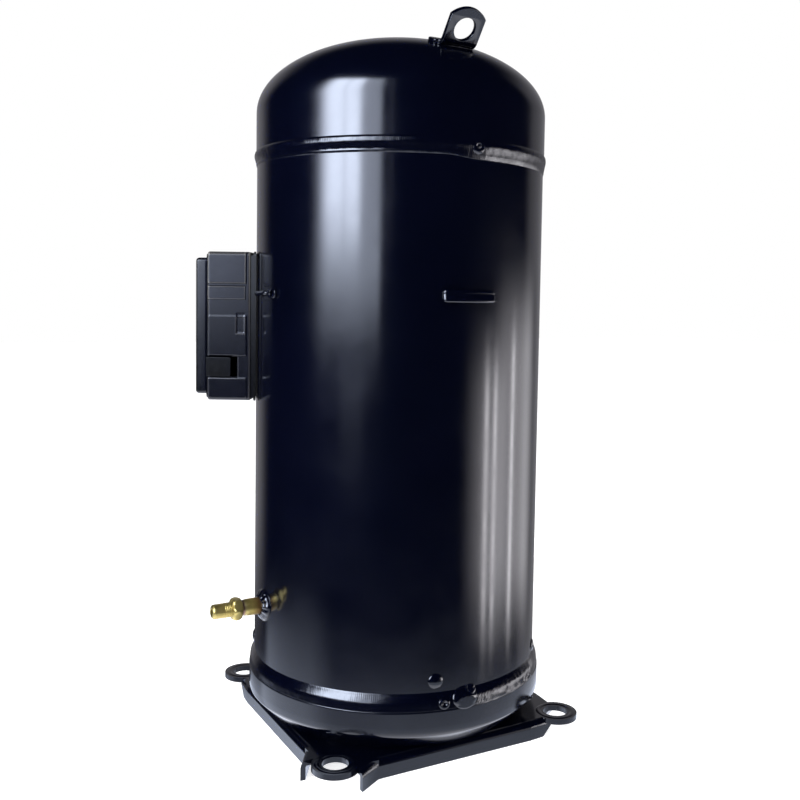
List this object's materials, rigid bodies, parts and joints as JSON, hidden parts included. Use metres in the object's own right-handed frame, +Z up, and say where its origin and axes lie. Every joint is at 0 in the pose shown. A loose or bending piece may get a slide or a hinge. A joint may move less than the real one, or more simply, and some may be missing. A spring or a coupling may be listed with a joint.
{
  "type": "scroll compressor",
  "caption": "Upright hermetic scroll compressor: black welded can with domed cap, lifting lug and side terminal box on a square base plate with four mounting ears.",
  "frame": {"origin": "centre of the four foot holes, at the level of the base plate's flange bottoms", "axes": "+Z up along the can's axis; X and Y along the square of foot holes; the access valve points to -X and the lifting lug is on the -Y side"},
  "size_m": [0.2734, 0.2765, 0.547],
  "materials": {
    "black_paint": "gloss black paint with a slight navy tint",
    "brass": "machined, slightly tarnished",
    "box_plastic": "moulded blue-black plastic, fine texture",
    "gasket_rubber": "foam rubber",
    "steel": "machined",
    "glass_bead": "fused glass",
    "copper_plate": "copper-plated steel tube",
    "cast_iron": "machined cast iron",
    "bearing_bronze": "sintered bronze",
    "rotor_aluminium": "die cast",
    "winding_copper": "varnished copper wire",
    "insulation": "woven insulation sleeve"
  },
  "bodies": {
    "housing": {"shell_tube": "black_paint", "top_cap": "black_paint", "bottom_cap": "black_paint", "top_weld_bead": "black_paint", "bottom_weld_bead": "black_paint", "base_plate": "black_paint", "lifting_lug": "black_paint", "strap_loop": "black_paint", "ground_stud": "black_paint", "access_valve_collar": "black_paint", "access_valve_body": "brass", "access_valve_core": "brass", "terminal_gasket": "gasket_rubber", "terminal_base": "box_plastic", "terminal_housing": "box_plastic", "hermetic_terminal": "steel", "terminal_glass": "glass_bead", "terminal_pins": "steel", "terminal_studs": "steel", "terminal_nuts": "steel", "suction_stub": "copper_plate", "suction_collar": "black_paint", "discharge_stub": "copper_plate", "discharge_collar": "black_paint", "main_housing": "cast_iron", "thrust_plate": "steel", "main_bearing": "bearing_bronze", "fixed_scroll": "cast_iron", "scroll_bolts": "steel", "check_valve_guide": "steel", "discharge_cover": "steel", "discharge_cover_bolts": "steel", "stator_core": "steel", "stator_winding": "winding_copper", "motor_protector": "insulation", "motor_leads": "insulation", "lower_bracket": "steel", "lower_bearing": "bearing_bronze", "lower_thrust_washer": "steel"},
    "crank": {"crankshaft": "steel", "drive_bush": "steel", "rotor_core": "steel", "rotor_end_rings": "rotor_aluminium", "upper_balance_weight": "bearing_bronze", "lower_balance_weight": "bearing_bronze", "oil_pickup": "steel"},
    "orbiter": {"orbiting_scroll": "cast_iron", "orbiting_bearing": "bearing_bronze"},
    "oldham": {"oldham_ring": "steel"},
    "check_disc": {"check_valve_disc": "steel"},
    "box_cover": {"terminal_cover": "box_plastic"},
    "valve_pin": {"access_valve_pin": "brass"}
  },
  "joints": [
    {"name": "crank_spin", "type": "hinge", "parent": "housing", "child": "crank", "pos_m": [0, 0, 0.2], "axis": [0, 0, 1], "continuous": true},
    {"name": "orbit_turn", "type": "hinge", "parent": "crank", "child": "orbiter", "pos_m": [0.0055, 0, 0.375], "axis": [0, 0, 1], "continuous": true},
    {"name": "oldham_slide", "type": "slide", "parent": "housing", "child": "oldham", "axis": [1, 0, 0], "range_m": [-0.011, 0]},
    {"name": "check_disc_lift", "type": "slide", "parent": "housing", "child": "check_disc", "axis": [0, 0, 1], "range_m": [0, 0.003]},
    {"name": "cover_pull_off", "type": "slide", "parent": "housing", "child": "box_cover", "axis": [-0.866, 0.5, 0], "range_m": [0, 0.06]},
    {"name": "valve_pin_press", "type": "slide", "parent": "housing", "child": "valve_pin", "axis": [1, 0, 0], "range_m": [0, 0.0016], "stiffness_N_per_m": 800, "springref_m": -0.004}
  ],
  "couplings": [
    {"joint": "orbit_turn", "follows": "crank_spin", "ratio": -1}
  ]
}
